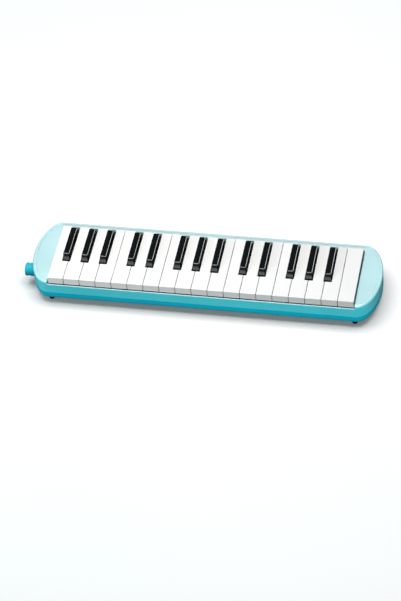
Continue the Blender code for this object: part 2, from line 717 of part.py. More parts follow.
def make_socket_seal(shop, material):
    seal = shop.part("socket_seal", socket_rod("socket_seal", *SEAL_OUT, SEAL_RADIUS), material)
    shop.cut(seal, socket_rod("seal_hole", SEAL_OUT[0] + MM, SEAL_OUT[1] - MM, SOCKET_NECK + FIT_GAP))


def make_air_duct(shop, material):
    """The box duct in the bass cheek that leads the wind from the socket back to the chest."""
    low = Vector((x_at(-DUCT_OUT[0]), y_at(DUCT_BACK[0]), z_at(DUCT_DOWN[1])))
    high = Vector((x_at(-DUCT_OUT[1]), y_at(DUCT_BACK[1]), z_at(DUCT_DOWN[0])))
    duct = shop.part("air_duct", box_mesh("air_duct", low, high), material)
    wall = Vector((DUCT_WALL, DUCT_WALL, DUCT_WALL))
    shop.cut(duct, box_mesh("duct_hollow", low + wall, high - wall))
    shop.cut(duct, socket_rod("duct_inlet", DUCT_OUT[0] + MM, sum(DUCT_OUT) / 2, SOCKET_BORE))
    outlet_low = (x_at(-sum(DUCT_OUT) / 2), y_at(DUCT_OUTLET_BACK[0]), z_at(DUCT_OUTLET_DOWN[1]))
    outlet_high = (x_at(-DUCT_OUT[1] + MM), y_at(DUCT_OUTLET_BACK[1]), z_at(DUCT_OUTLET_DOWN[0]))
    shop.cut(duct, box_mesh("duct_outlet", outlet_low, outlet_high))


def make_drain_button(shop, material):
    x, y = drain_place()
    low, high = z_at(DRAIN_BUTTON_DOWN[1]), z_at(DRAIN_BUTTON_DOWN[0])
    mesh = rod_mesh("drain_button", (x, y, low), (x, y, high), DRAIN_BUTTON)
    button = shop.part("drain_button", mesh, material, (x, y, low))
    stem_top = z_at(DRAIN_DISC_DOWN[1] + FIT_GAP)
    stem = rod_mesh("drain_stem", (x, y, high - MM), (x, y, stem_top), DRAIN_STEM, sides=SHAFT_SIDES)
    shop.add(button, stem)


def make_drain_valve(shop, material):
    x, y = drain_place()
    low, high = z_at(DRAIN_DISC_DOWN[1]), z_at(DRAIN_DISC_DOWN[0])
    mesh = rod_mesh("drain_valve", (x, y, low), (x, y, high), DRAIN_DISC)
    shop.part("drain_valve", mesh, material, (x, y, low))


def make_drain_spring(shop, material):
    """A coil spring between the valve disc and the chamber's ceiling."""
    x, y = drain_place()
    low = z_at(DRAIN_DISC_DOWN[0]) + SPRING_WIRE + FIT_GAP
    high = z_at(CHEST_DOWN[0] + CHEST_WALL) - SPRING_WIRE - FIT_GAP
    steps = SPRING_TURNS * SPRING_STEPS
    curve = bpy.data.curves.new("drain_spring", "CURVE")
    curve.dimensions = "3D"
    curve.bevel_depth = SPRING_WIRE
    curve.bevel_resolution = 0
    curve.use_fill_caps = True
    spline = curve.splines.new("POLY")
    spline.points.add(steps)
    for step, point in enumerate(spline.points):
        turn = 2 * math.pi * SPRING_TURNS * step / steps
        height = low + (high - low) * step / steps
        point.co = (SPRING_RADIUS * math.cos(turn), SPRING_RADIUS * math.sin(turn), height, 1)
    source = bpy.data.objects.new("drain_spring_wire", curve)
    bpy.context.scene.collection.objects.link(source)
    mesh = evaluated_mesh(source, "drain_spring")
    bpy.data.objects.remove(source, do_unlink=True)
    bm = bmesh.new()
    bm.from_mesh(mesh)
    bmesh.ops.remove_doubles(bm, verts=bm.verts, dist=NEAR)
    bpy.data.meshes.remove(mesh)
    mesh = mesh_from(bm, "drain_spring")
    spring = shop.part("drain_spring", mesh, material)
    spring.location = (x, y, 0)


def shade_round_parts(collection):
    for item in collection.objects:
        item.data.shade_smooth()
        item.data.set_sharp_from_angle(angle=SHARP_ANGLE)


def main():
    clear_scene()
    shop = Workshop("melodica")
    upper = make_material("upper_plastic")
    lower = make_material("lower_plastic")
    ivory = make_material("white_key_plastic")
    ebony = make_material("black_key_plastic")
    inner = make_material("inner_plastic")
    brass = make_material("reed_brass")
    steel = make_material("steel")
    rubber = make_material("rubber")
    felt = make_material("felt")

    lever = lever_mesh(shop)
    bore = shop.tool(shaft_bore_mesh())
    make_upper_case(shop, upper)
    make_lower_case(shop, lower)
    make_case_screws(shop, steel)
    make_feet(shop, rubber)
    make_white_keys(shop, lever, bore, ivory)
    make_black_keys(shop, lever, bore, ebony)
    make_key_shaft(shop, steel)
    make_wind_chest(shop, bore, inner)
    make_chest_gasket(shop, rubber)
    make_chest_cover(shop, inner)
    make_reed_plates(shop, brass)
    make_spring_comb(shop, steel)
    make_stop_felt(shop, felt)
    make_blow_socket(shop, lower)
    make_socket_seal(shop, rubber)
    make_air_duct(shop, inner)
    make_drain_button(shop, ebony)
    make_drain_valve(shop, rubber)
    make_drain_spring(shop, steel)
    shade_round_parts(shop.parts)


if __name__ == "__main__":
    main()
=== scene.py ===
"""Melodica looks: finished shells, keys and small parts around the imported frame, and materials.

Metres, +Z up, in the frame's own coordinates. Laid out as an add-on and run as a script.
"""

import json
import math

import bmesh
import bpy
from bpy.props import FloatProperty, FloatVectorProperty, IntProperty, PointerProperty
from bpy.types import Operator, Panel, PropertyGroup
from mathutils import Matrix, Vector


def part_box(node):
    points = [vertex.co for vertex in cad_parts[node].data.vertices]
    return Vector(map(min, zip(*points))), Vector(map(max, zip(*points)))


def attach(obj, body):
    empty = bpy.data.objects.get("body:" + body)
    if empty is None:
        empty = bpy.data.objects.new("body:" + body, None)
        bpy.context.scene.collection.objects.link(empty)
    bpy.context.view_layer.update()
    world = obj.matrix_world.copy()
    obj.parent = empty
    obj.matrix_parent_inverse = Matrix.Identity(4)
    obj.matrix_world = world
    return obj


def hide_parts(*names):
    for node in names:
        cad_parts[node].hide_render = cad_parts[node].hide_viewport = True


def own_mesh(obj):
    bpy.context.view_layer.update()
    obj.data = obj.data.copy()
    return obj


bl_info = {
    "name": "Melodica",
    "version": (1, 0, 0),
    "blender": (4, 5, 0),
    "location": "3D View > Sidebar > Melodica",
    "description": "Builds the finished pieces of a 32-key melodica around its packed frame",
    "category": "Object",
}

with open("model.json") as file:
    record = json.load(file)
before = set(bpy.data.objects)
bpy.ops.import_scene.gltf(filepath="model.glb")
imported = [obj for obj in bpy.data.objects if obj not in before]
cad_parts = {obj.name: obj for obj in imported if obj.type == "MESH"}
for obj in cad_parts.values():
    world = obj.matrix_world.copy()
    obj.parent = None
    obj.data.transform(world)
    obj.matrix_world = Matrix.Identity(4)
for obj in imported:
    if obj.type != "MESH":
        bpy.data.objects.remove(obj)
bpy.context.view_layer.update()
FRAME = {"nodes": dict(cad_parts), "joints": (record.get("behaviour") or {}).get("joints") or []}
MM = 0.001
CASE = "case"
CASE_PIECES = ("upper_shell", "lower_shell")
NODES = FRAME["nodes"]
WHITE_NODES = sorted(name for name in NODES if name.startswith("white_key_"))
BLACK_NODES = sorted(name for name in NODES if name.startswith("black_key_"))
PIVOTS = {joint["child"]: Vector(joint["pos_m"]) for joint in FRAME["joints"] if "pos_m" in joint}

# Meshes: how near a corner lies to a level it is on, and to another corner at the same place.
ON_LEVEL = 1e-6
SAME_PLACE = 1e-7
SHARP_ANGLE = math.radians(35)
TURN_STEPS = 48
CORNER_SEGMENTS = 5

# Case: the rail and the opening, then the shells' edges, then the holes in them.
RAIL_DROP = 9.4 * MM
RAIL_WIDTH = 1.7 * MM
REAR_GAP = 1.3 * MM
CHEEK_WALL_DEPTH = 13.5 * MM
OPENING_START = 2 * MM
SEAM_GAP = 0.3 * MM
TOP_SEGMENTS = 8
BASE_SEGMENTS = 10
SOFT_SEGMENTS = 3
SOFT_ANGLE = math.radians(50)
LOWER_SOFTNESS = 0.7
SOCKET_HOLE = 8.2 * MM
BUTTON_HOLE = 4.4 * MM
BUTTON_HOLE_DEPTH = 5 * MM
WELL_RADIUS = 3.2 * MM
WELL_DEPTH = 3.0 * MM
BOSS_RADIUS = 4.6 * MM
BOSS_COVER = 2.5 * MM

# Keys: in millimetres, the lever's side as (behind the white fronts, below the white tops), then
# the pallet's plate and its felt as half width, nearest and furthest, bottom and top.
KEY_SEGMENTS = 4
LEVER_SIDE = (
    (62, 1.2), (87.6, 1.2), (87.6, 9.5), (96.6, 9.5),
    (96.6, 15.6), (79, 16.4), (70, 17.0), (62, 16.4),
)
LEVER_WIDTH = 4 * MM
LEVER_ROUND = 0.3 * MM
PALLET_PLATE = (4, 89, 96.6, 18.2, 15.5)
PLATE_ROUND = 0.4 * MM
PALLET_FELT = (3.8, 89.2, 96.4, 20.0, 18.1)
FELT_ROUND = 0.5 * MM

# Small parts.
SHANK = 1.4 * MM
RECESS_NARROW = 0.45 * MM
RECESS_LONG = 1.7 * MM
RECESS_DEPTH = 1.4 * MM
BUTTON_HEIGHT = 3.1 * MM
SPRING_WIRE = 0.3 * MM
SPRING_SIDES = 8
SPRING_TURNS = 5
SPRING_STEPS = 24

# Stage.
FLOOR_REACH = 6
FLOOR_GLOW = 0.13
SENSOR_WIDTH = 36
SKY_COLOUR = (0.5, 0.92, 1.0, 1)
SKY_STRENGTH = 0.08
WHITE_LIGHT = (1, 1, 1)
PALE_LIGHT = (0.5, 0.95, 1.0)
CYAN_LIGHT = (0.02, 0.86, 1.0)
# Every light's name and kind, its place and size in metres, its power in watts, its colour, and
# the group of pieces it lights (None for all). A fill leaves no reflection and a glint shows only
# in the gloss.
LIGHTS = (
    ("overhead_softbox", "fill", (0, 0.12, 1.8), (2.0, 1.1), 36, WHITE_LIGHT, "not_white"),
    ("key_softbox", "fill", (-0.6, 0.12, 1.7), (1.4, 1.1), 36, WHITE_LIGHT, "white_caps"),
    ("left_softbox", "soft", (-1.5, -0.1, 0.5), (0.5, 0.8), 4, PALE_LIGHT, None),
    ("case_fill", "fill", (0.2, -1.7, 0.6), (1.6, 0.5), 22, CYAN_LIGHT, "shells"),
    ("socket_fill", "fill", (0.2, -1.7, 0.6), (1.6, 0.5), 12, CYAN_LIGHT, "socket"),
    ("rear_fill", "fill", (0, 1.7, 0.16), (1.8, 0.25), 14, CYAN_LIGHT, "shells"),
    ("bass_end_fill", "fill", (-1.7, 0.1, 0.16), (0.6, 0.25), 8, CYAN_LIGHT, "shells"),
    ("treble_end_fill", "fill", (1.7, 0.1, 0.16), (0.6, 0.25), 4, CYAN_LIGHT, "shells"),
    ("key_fill", "fill", (-0.8, -1.6, 0.6), (0.7, 0.5), 17, WHITE_LIGHT, "keys_and_small"),
    ("key_side_glint", "glint", (1.1, 1.35, 1.1), (1.0, 1.0), 55, WHITE_LIGHT, "blacks"),
    ("case_side_glint", "glint", (1.1, 1.35, 1.1), (1.0, 1.0), 4, WHITE_LIGHT, "shells"),
    ("key_front_glint", "glint", (0, -0.95, 1.55), (2.4, 1.0), 110, WHITE_LIGHT, "blacks"),
    ("case_rim_glint", "glint", (0, -0.48, 1.78), (2.4, 0.7), 150, WHITE_LIGHT, "shells"),
    ("front_glint", "glint", (-0.2, -1.9, 0.41), (1.4, 0.56), 6, WHITE_LIGHT, "blacks"),
)
FILL_AIM = (0, 0, 0.02)


# ---- settings


class MelodicaCaseSettings(PropertyGroup):
    """Sizes and colours of the case."""

    wall: FloatProperty(
        name="Wall", description="Thickness of the moulded shells", default=2.2 * MM, unit="LENGTH"
    )
    side_gap: FloatProperty(
        name="Side gap", description="Gap between the outermost white keys and the cheeks",
        default=1.2 * MM, unit="LENGTH",
    )
    panel_in: FloatProperty(
        name="Panel edge", description="Width of the raised border round the top panel",
        default=1.0 * MM, unit="LENGTH",
    )
    panel_depth: FloatProperty(
        name="Panel depth", description="How far the top panel is sunk inside its border",
        default=0.6 * MM, unit="LENGTH",
    )
    seam: FloatProperty(
        name="Seam", description="Height of the line where the two shells meet",
        default=18.0 * MM, unit="LENGTH",
    )
    top_round: FloatProperty(
        name="Top rounding", description="Radius round the rim of the upper case",
        default=3.2 * MM, unit="LENGTH",
    )
    base_round: FloatProperty(
        name="Base rounding", description="Radius round the rim of the lower case",
        default=8.0 * MM, unit="LENGTH",
    )
    edge_round: FloatProperty(
        name="Edge rounding", description="Radius on the edges of the openings",
        default=0.8 * MM, unit="LENGTH",
    )
    steps: IntProperty(
        name="Steps", description="Segments round the two ends of the case", default=128, min=16
    )
    upper_colour: FloatVectorProperty(
        name="Upper colour", description="Plastic of the upper case", subtype="COLOR",
        default=(0.61, 0.745, 0.755), min=0, max=1,
    )
    # Painted shade: the lower case is the same plastic as the upper case, given this darker, deeper
    # teal to stand in for the shade on its wall.
    shaded_lower_colour: FloatVectorProperty(
        name="Lower colour", description="Plastic of the lower case", subtype="COLOR",
        default=(0.04, 0.52, 0.63), min=0, max=1,
    )


class MelodicaKeySettings(PropertyGroup):
    """Sizes and colours of the keys."""

    white_length: FloatProperty(
        name="White key length", description="Visible length of a white key",
        default=90 * MM, unit="LENGTH",
    )
    white_depth: FloatProperty(
        name="White key depth", description="Height of a white key's front",
        default=9.3 * MM, unit="LENGTH",
    )
    white_round: FloatProperty(
        name="White key rounding", description="Radius on a white key's edges",
        default=0.6 * MM, unit="LENGTH",
    )
    notch_front: FloatProperty(
        name="Notch", description="How far back a white key narrows beside a black key",
        default=30 * MM, unit="LENGTH",
    )
    notch_side: FloatProperty(
        name="Notch gap", description="Gap beside a black key", default=0.5 * MM, unit="LENGTH"
    )
    black_depth: FloatProperty(
        name="Black key depth", description="How far a black key reaches below the white tops",
        default=8.5 * MM, unit="LENGTH",
    )
    black_rise: FloatProperty(
        name="Black key rise", description="Height of a black key above the white tops",
        default=7.5 * MM, unit="LENGTH",
    )
    black_top_width: FloatProperty(
        name="Black top width", description="Width of a black key's top",
        default=7.6 * MM, unit="LENGTH",
    )
    black_front: FloatProperty(
        name="Black front", description="Distance from the white fronts to a black key's front",
        default=31.3 * MM, unit="LENGTH",
    )
    black_top_front: FloatProperty(
        name="Black top front", description="Distance to the front of a black key's top",
        default=36.0 * MM, unit="LENGTH",
    )
    black_top_rear: FloatProperty(
        name="Black top rear", description="Distance to the rear of a black key's top",
        default=80.5 * MM, unit="LENGTH",
    )
    black_rear: FloatProperty(
        name="Black rear", description="Distance to a black key's rear face",
        default=89.0 * MM, unit="LENGTH",
    )
    black_round: FloatProperty(
        name="Black key rounding", description="Radius on a black key's upper edges",
        default=0.9 * MM, unit="LENGTH",
    )
    black_front_swell: FloatProperty(
        name="Black front swell", description="How far a black key's front bulges at mid height",
        default=0.4 * MM, unit="LENGTH",
    )
    skin: FloatProperty(
        name="Skin", description="Wall of a hollow key", default=1.4 * MM, unit="LENGTH"
    )
    white_colour: FloatVectorProperty(
        name="White colour", description="Plastic of the white keys", subtype="COLOR",
        default=(0.95, 0.925, 0.91), min=0, max=1,
    )
    black_colour: FloatVectorProperty(
        name="Black colour", description="Plastic of the black keys", subtype="COLOR",
        default=(0.005, 0.005, 0.0055), min=0, max=1,
    )


class MelodicaStageSettings(PropertyGroup):
    """The camera."""

    aim: FloatVectorProperty(
        name="Aim", description="The point the camera looks at", subtype="TRANSLATION",
        default=(0.0071, -0.0581, 0.0308),
    )
    distance: FloatProperty(
        name="Distance", description="Camera to aim point", default=2.8224, unit="LENGTH"
    )
    azimuth: FloatProperty(
        name="Azimuth", description="Turn of the camera towards the treble end",
        default=math.radians(14.46), unit="ROTATION",
    )
    elevation: FloatProperty(
        name="Elevation", description="Camera's height above the horizon",
        default=math.radians(45.31), unit="ROTATION",
    )
    roll: FloatProperty(
        name="Roll", description="Lean of the camera about its own line of sight",
        default=math.radians(-5.73), unit="ROTATION",
    )
    lens: FloatProperty(
        name="Lens", description="Focal length on a 36 mm sensor", default=142.74,
        unit="CAMERA",
    )


# ---- mesh helpers


def finished(name, bm, finish, body, replaced=()):
    """A piece from a bmesh: in place, riding on its body, with its finish."""
    mesh = bpy.data.meshes.new(name)
    bm.to_mesh(mesh)
    bm.free()
    return finished_mesh(name, mesh, finish, body, replaced)


def finished_mesh(name, mesh, finish, body, replaced=()):
    """The same from a mesh."""
    mesh.materials.clear()
    mesh.materials.append(Finishes.get(finish))
    mesh.shade_smooth()
    mesh.set_sharp_from_angle(angle=SHARP_ANGLE)
    piece = bpy.data.objects.new(name, mesh)
    bpy.context.scene.collection.objects.link(piece)
    weighted = piece.modifiers.new("even_shading", "WEIGHTED_NORMAL")
    weighted.keep_sharp = True
    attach(piece, body)
    if replaced:
        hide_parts(*replaced)
    return piece


def outward(bm):
    """Turns every face outwards."""
    bmesh.ops.recalc_face_normals(bm, faces=bm.faces)


def all_at(verts, axis, level):
    """Whether every vertex lies on a level along one axis."""
    return all(abs(vert.co[axis] - level) < ON_LEVEL for vert in verts)


def box_into(bm, low, high):
    """A box between two corners; returns its vertices."""
    size = Vector(high) - Vector(low)
    middle = (Vector(high) + Vector(low)) / 2
    matrix = Matrix.Translation(middle) @ Matrix.Diagonal((*size, 1))
    return bmesh.ops.create_cube(bm, size=1, matrix=matrix)["verts"]


def face_from(bm, points):
    """One flat face through a few corner points."""
    return bm.faces.new([bm.verts.new(point) for point in points])


def extruded(bm, faces, move):
    """Extrudes faces by a step; returns the new vertices."""
    made = bmesh.ops.extrude_face_region(bm, geom=faces)["geom"]
    moved = [item for item in made if isinstance(item, bmesh.types.BMVert)]
    bmesh.ops.translate(bm, vec=move, verts=moved)
    return moved


def drawn_down(bm, face, depth):
    """Extrudes a level face downwards into a closed block."""
    extruded(bm, [face], (0, 0, -depth))
    outward(bm)


def hollowed_from_below(bm, skin, depth):
    """Sinks a cavity into the lowest face, leaving a rim as wide as the skin."""
    bottom = min(bm.faces, key=lambda face: face.calc_center_median().z)
    bmesh.ops.inset_region(bm, faces=[bottom], thickness=skin, use_even_offset=True)
    extruded(bm, [bottom], (0, 0, depth))
    if bottom.is_valid:
        bmesh.ops.delete(bm, geom=[bottom], context="FACES_ONLY")
    outward(bm)


def bevelled(bm, edges, radius, segments):
    """Rounds edges."""
    bmesh.ops.bevel(
        bm, geom=edges, offset=radius, segments=segments, profile=0.5,
        affect="EDGES", material=-1, clamp_overlap=True,
    )


def turned(profile, centre, steps=TURN_STEPS):
    """A turned shape about the upright line through the centre, from (radius, height) pairs."""
    bm = bmesh.new()
    points = [(centre[0] + radius, centre[1], height) for radius, height in profile]
    verts = [bm.verts.new(point) for point in points]
    edges = [bm.edges.new(pair) for pair in zip(verts, verts[1:])]
    bmesh.ops.spin(
        bm, geom=verts + edges, cent=(centre[0], centre[1], 0), axis=(0, 0, 1),
        angle=2 * math.pi, steps=steps, use_merge=True,
    )
    bmesh.ops.remove_doubles(bm, verts=bm.verts, dist=SAME_PLACE)
    outward(bm)
    return bm


def rounded(corner, into, out, radius):
    """Points of a quarter round at a profile's corner, between two directions away from it."""
    corner = Vector(corner)
    start = corner + Vector(into).normalized() * radius
    end = corner + Vector(out).normalized() * radius
    middle = start + end - corner
    points = []
    for step in range(CORNER_SEGMENTS + 1):
        turn = math.pi / 2 * step / CORNER_SEGMENTS
        points.append(middle + (start - middle) * math.cos(turn) + (end - middle) * math.sin(turn))
    return [tuple(point) for point in points]


def linked_object(name, bm):
    """An object of a bmesh, which is freed."""
    mesh = bpy.data.meshes.new(name)
    bm.to_mesh(mesh)
    bm.free()
    item = bpy.data.objects.new(name, mesh)
    bpy.context.scene.collection.objects.link(item)
    return item


def scratch_object(name, bm):
    """An object that is cut, or cuts another, and doesn't stay."""
    outward(bm)
    return linked_object(name, bm)


def applied(item):
    """The object's mesh with its modifiers applied; the object and its cutters are removed."""
    graph = bpy.context.evaluated_depsgraph_get()
    graph.update()
    mesh = bpy.data.meshes.new_from_object(item.evaluated_get(graph))
    cutters = [step.object for step in item.modifiers if step.type == "BOOLEAN"]
    for used in (item, *cutters):
        bpy.data.objects.remove(used, do_unlink=True)
    return mesh


def boolean(item, tool, operation):
    """Adds a step that joins a tool to an object, or cuts it away."""
    step = item.modifiers.new(operation.lower(), "BOOLEAN")
    step.operation = operation
    step.solver = "EXACT"
    step.object = tool


def cutter_box(name, low, high):
    bm = bmesh.new()
    box_into(bm, low, high)
    return scratch_object(name, bm)


def cutter_rod(name, start, end, radius):
    start, end = Vector(start), Vector(end)
    bm = bmesh.new()
    turn = (end - start).to_track_quat("Z", "Y").to_matrix().to_4x4()
    bmesh.ops.create_cone(
        bm, cap_ends=True, segments=TURN_STEPS, radius1=radius, radius2=radius,
        depth=(end - start).length, matrix=Matrix.Translation((start + end) / 2) @ turn,
    )
    return scratch_object(name, bm)


# ---- materials


def new_material(name):
    """A material with its shader, and object coordinates to pattern it by."""
    material = bpy.data.materials.new(name)
    material.use_nodes = True
    tree = material.node_tree
    shader = tree.nodes["Principled BSDF"]
    place = tree.nodes.new("ShaderNodeTexCoord")
    return material, tree, shader, place.outputs["Object"]


def noise(tree, place, scale, detail, roughness=0.5):
    node = tree.nodes.new("ShaderNodeTexNoise")
    node.inputs["Scale"].default_value = scale
    node.inputs["Detail"].default_value = detail
    node.inputs["Roughness"].default_value = roughness
    tree.links.new(place, node.inputs["Vector"])
    return node.outputs["Fac"]


def spread(tree, value, low, high, start=0.35, end=0.65):
    """A noise value stretched to run from low to high."""
    node = tree.nodes.new("ShaderNodeMapRange")
    numbers = {"From Min": start, "From Max": end, "To Min": low, "To Max": high}
    for socket, number in numbers.items():
        node.inputs[socket].default_value = number
    tree.links.new(value, node.inputs["Value"])
    return node.outputs["Result"]


def colour_between(tree, factor, first, second):
    node = tree.nodes.new("ShaderNodeMix")
    node.data_type = "RGBA"
    node.inputs["A"].default_value = (*first, 1)
    node.inputs["B"].default_value = (*second, 1)
    tree.links.new(factor, node.inputs["Factor"])
    return node.outputs["Result"]


def bump(tree, shader, height, strength, distance):
    node = tree.nodes.new("ShaderNodeBump")
    node.inputs["Strength"].default_value = strength
    node.inputs["Distance"].default_value = distance
    tree.links.new(height, node.inputs["Height"])
    tree.links.new(node.outputs["Normal"], shader.inputs["Normal"])


def tinted(colour, factor):
    return tuple(min(1.0, channel * factor) for channel in colour)


def moulded_plastic(name, colour, low_rough, high_rough, grain=0.05, cloud=0.03):
    """Glossy moulded plastic: faint cloudiness in the pigment, uneven gloss and a fine ripple."""
    material, tree, shader, place = new_material(name)
    pigment = spread(tree, noise(tree, place, scale=22, detail=3), low=0, high=1)
    paint = colour_between(tree, pigment, tinted(colour, 1 - cloud), tinted(colour, 1 + cloud))
    tree.links.new(paint, shader.inputs["Base Color"])
    gloss = spread(tree, noise(tree, place, scale=65, detail=4), low_rough, high_rough)
    tree.links.new(gloss, shader.inputs["Roughness"])
    ripple = noise(tree, place, scale=900, detail=2)
    bump(tree, shader, ripple, strength=grain, distance=0.02 * MM)
    shader.inputs["IOR"].default_value = 1.49
    return material


def matt_plastic(name, colour):
    """Plain inner plastic with a fine, even texture."""
    material, tree, shader, place = new_material(name)
    cloud = spread(tree, noise(tree, place, scale=40, detail=3), low=0, high=1)
    paint = colour_between(tree, cloud, tinted(colour, 0.92), colour)
    tree.links.new(paint, shader.inputs["Base Color"])
    gloss = spread(tree, noise(tree, place, scale=200, detail=3), low=0.45, high=0.6)
    tree.links.new(gloss, shader.inputs["Roughness"])
    texture = noise(tree, place, scale=1800, detail=3)
    bump(tree, shader, texture, strength=0.2, distance=0.05 * MM)
    return material


def black_rubber(name):
    """Dull rubber with a little dust in its grain."""
    material, tree, shader, place = new_material(name)
    specks = noise(tree, place, scale=300, detail=4)
    dust = spread(tree, specks, low=0, high=1, start=0.45, end=0.75)
    paint = colour_between(tree, dust, (0.012, 0.012, 0.013), (0.03, 0.03, 0.032))
    tree.links.new(paint, shader.inputs["Base Color"])
    gloss = spread(tree, noise(tree, place, scale=500, detail=3), low=0.6, high=0.8)
    tree.links.new(gloss, shader.inputs["Roughness"])
    texture = noise(tree, place, scale=2500, detail=3)
    bump(tree, shader, texture, strength=0.3, distance=0.05 * MM)
    return material


def rolled_metal(name, colour, low_rough, high_rough, stretch):
    """Metal with fine lines along its rolling direction and slight tarnish."""
    material, tree, shader, place = new_material(name)
    mapping = tree.nodes.new("ShaderNodeMapping")
    mapping.inputs["Scale"].default_value = stretch
    tree.links.new(place, mapping.inputs["Vector"])
    lines = noise(tree, mapping.outputs["Vector"], scale=400, detail=3)
    tarnish = spread(tree, noise(tree, place, scale=60, detail=4), low=0, high=1)
    paint = colour_between(tree, tarnish, tinted(colour, 0.85), colour)
    tree.links.new(paint, shader.inputs["Base Color"])
    tree.links.new(spread(tree, lines, low_rough, high_rough), shader.inputs["Roughness"])
    bump(tree, shader, lines, strength=0.15, distance=0.02 * MM)
    shader.inputs["Metallic"].default_value = 1.0
    return material


def pressed_felt(name, colour):
    """Dull felt, lighter and darker by its fibres."""
    material, tree, shader, place = new_material(name)
    fibres = noise(tree, place, scale=1500, detail=5, roughness=0.7)
    tint = spread(tree, fibres, low=0, high=1)
    paint = colour_between(tree, tint, tinted(colour, 0.7), tinted(colour, 1.2))
    tree.links.new(paint, shader.inputs["Base Color"])
    bump(tree, shader, fibres, strength=0.8, distance=0.3 * MM)
    shader.inputs["Roughness"].default_value = 0.95
    shader.inputs["Sheen Weight"].default_value = 0.4
    return material


class Finishes:
    """The object's materials, made once."""

    made = {}

    @classmethod
    def get(cls, name):
        if name not in cls.made:
            cls.made[name] = cls.make(name)
        return cls.made[name]

    @staticmethod
    def make(name):
        case = bpy.context.scene.melodica_case
        keys = bpy.context.scene.melodica_keys
        if name == "upper_plastic":
            return moulded_plastic(name, case.upper_colour, low_rough=0.16, high_rough=0.24)
        # The lower shell's plastic is the case plastic darkened into painted shade.
        if name == "lower_plastic":
            return moulded_plastic(name, case.shaded_lower_colour, low_rough=0.16, high_rough=0.24)
        if name == "white_key_plastic":
            return moulded_plastic(
                name, keys.white_colour, low_rough=0.21, high_rough=0.25,
                grain=0.03, cloud=0.01,
            )
        if name == "black_key_plastic":
            return moulded_plastic(
                name, keys.black_colour, low_rough=0.10, high_rough=0.16, grain=0.02
            )
        if name == "inner_plastic":
            return matt_plastic(name, colour=(0.72, 0.72, 0.69))
        if name == "rubber":
            return black_rubber(name)
        if name == "reed_brass":
            return rolled_metal(
                name, colour=(0.78, 0.60, 0.28), low_rough=0.25, high_rough=0.4, stretch=(1, 0.1, 1)
            )
        if name == "bright_steel":
            return rolled_metal(
                name, colour=(0.60, 0.61, 0.63), low_rough=0.2, high_rough=0.35, stretch=(0.1, 1, 1)
            )
        if name == "felt":
            return pressed_felt(name, colour=(0.38, 0.06, 0.06))
        if name == "pad_felt":
            return pressed_felt(name, colour=(0.70, 0.62, 0.48))
        raise ValueError(f"no finish is named {name}")


# ---- case


def case_block(low, high, flat_on_top, rim_round, rim_segments, steps):
    """Half of the case as an open skin: a level side with a rounded rim, and the upright wall."""
    size, middle = high - low, (high + low) / 2
    white_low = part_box(WHITE_NODES[0])[0].x
    white_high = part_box(WHITE_NODES[-1])[1].x
    # The ends' curves begin beside the outermost keys.
    straight = (white_high - white_low) / 2 + bpy.context.scene.melodica_case.side_gap
    reach = size.x / 2 - straight
    flat, rim = (high.z, low.z) if flat_on_top else (low.z, high.z)
    bm = bmesh.new()
    ring = bmesh.ops.create_circle(bm, cap_ends=True, segments=steps, radius=1)["verts"]
    half_step = math.pi / steps
    bmesh.ops.rotate(bm, cent=(0, 0, 0), matrix=Matrix.Rotation(half_step, 3, "Z"), verts=ring)
    for vert in ring:
        side = math.copysign(1, vert.co.x)
        if abs(vert.co.x) < 1.5 * half_step:  # the two corners nearest the middle, front and rear
            vert.co = Vector((0, math.copysign(1, vert.co.y), 0))
        vert.co = Vector((
            middle.x + side * straight + vert.co.x * reach, middle.y + vert.co.y * size.y / 2, flat
        ))
    level = list(bm.faces)
    extruded(bm, level, (0, 0, rim - flat))
    outward(bm)
    open_side = [face for face in bm.faces if all_at(face.verts, 2, rim)]
    bmesh.ops.delete(bm, geom=open_side, context="FACES_ONLY")
    edges = [edge for edge in bm.edges if all_at(edge.verts, 2, flat)]
    bevelled(bm, edges, rim_round, rim_segments)
    return bm


def sunk_panel(bm, level, border, depth):
    """Sinks the flat top inside a narrow border, over a short slope."""
    top = [face for face in bm.faces if all_at(face.verts, 2, level)]
    bmesh.ops.inset_region(bm, faces=top, thickness=border, use_even_offset=True)
    bmesh.ops.inset_region(bm, faces=top, thickness=depth, depth=-depth, use_even_offset=True)


def walled(name, bm, wall):
    """A scratch object of the skin with its wall thickness."""
    item = linked_object(name, bm)
    step = item.modifiers.new("wall", "SOLIDIFY")
    step.thickness = wall
    step.offset = -1
    step.use_even_offset = True
    return item


def soften_edges(item, radius):
    """Adds a step that rounds the sharp edges."""
    step = item.modifiers.new("soft_edges", "BEVEL")
    step.width = radius
    step.segments = SOFT_SEGMENTS
    step.limit_method = "ANGLE"
    step.angle_limit = SOFT_ANGLE
    step.miter_outer = "MITER_ARC"
    step.use_clamp_overlap = True


def white_front_and_top():
    """How far forward the white keys' fronts are, and how high their tops."""
    low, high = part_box(WHITE_NODES[0])
    return low.y, high.z


def keyboard_span():
    """Left, right, front and rear of the opening that the keys stand in, and the rail's height."""
    gap = bpy.context.scene.melodica_case.side_gap
    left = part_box(WHITE_NODES[0])[0].x - gap
    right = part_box(WHITE_NODES[-1])[1].x + gap
    front, top = white_front_and_top()
    rear = front + bpy.context.scene.melodica_keys.white_length + REAR_GAP
    return left, right, front, rear, top - RAIL_DROP


def middle_of(node):
    """The middle of a node's box, seen from above."""
    low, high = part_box(node)
    return (low.x + high.x) / 2, (low.y + high.y) / 2


def socket_axis():
    """Where the blow socket starts and ends along X, and the Y and Z of its axis."""
    low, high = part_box("blow_socket")
    return low.x, high.x, (low.y + high.y) / 2, (low.z + high.z) / 2


def socket_cutter():
    """A rod as long as the blow socket, to make room for it."""
    start_x, end_x, y, z = socket_axis()
    return cutter_rod("socket_hole", (start_x, y, z), (end_x, y, z), SOCKET_HOLE)


